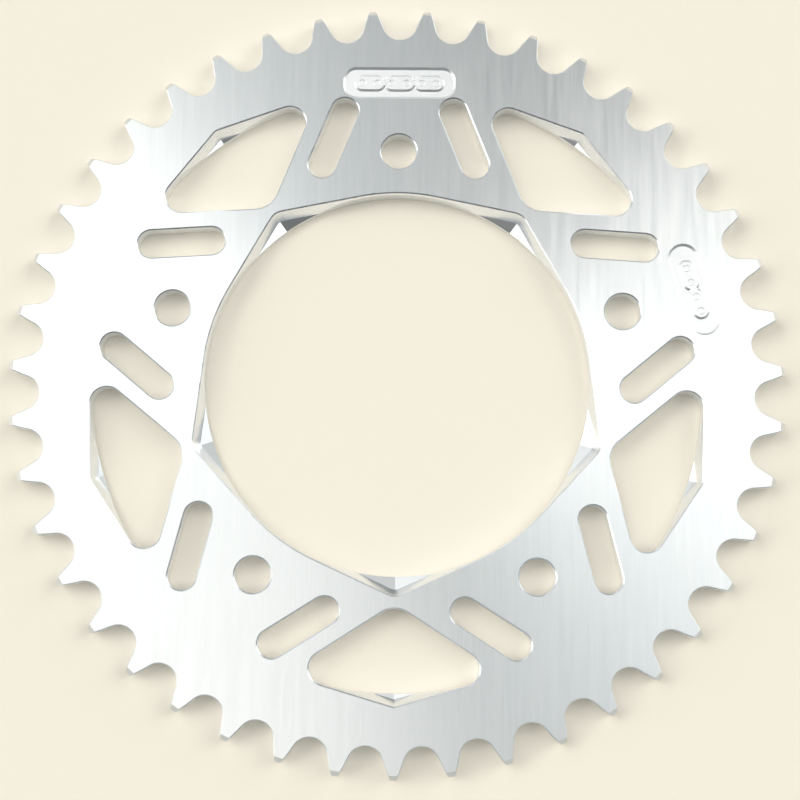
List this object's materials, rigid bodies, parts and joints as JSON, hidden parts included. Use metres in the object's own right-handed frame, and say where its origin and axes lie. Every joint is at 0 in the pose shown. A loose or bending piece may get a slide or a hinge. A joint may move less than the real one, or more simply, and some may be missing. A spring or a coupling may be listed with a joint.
{
  "type": "rear chain sprocket",
  "caption": "Flat toothed ring for a motorcycle's rear wheel, cut from one plate, with a stepped central bore, a bolt circle, kite-shaped windows, paired slots and shallow label pockets.",
  "frame": {"origin": "centre of the bore, on the plain back face that seats on the wheel's carrier", "axes": "+Z along the wheel axis out of the labelled front face, +Y through the tooth gap above the wide label pocket, +X to its right seen from the front"},
  "size_m": [0.2256, 0.2254, 0.006],
  "materials": {
    "machined_plate": "brushed, uncoated, machined edges"
  },
  "bodies": {
    "root": {"sprocket": "machined_plate"}
  },
  "joints": []
}
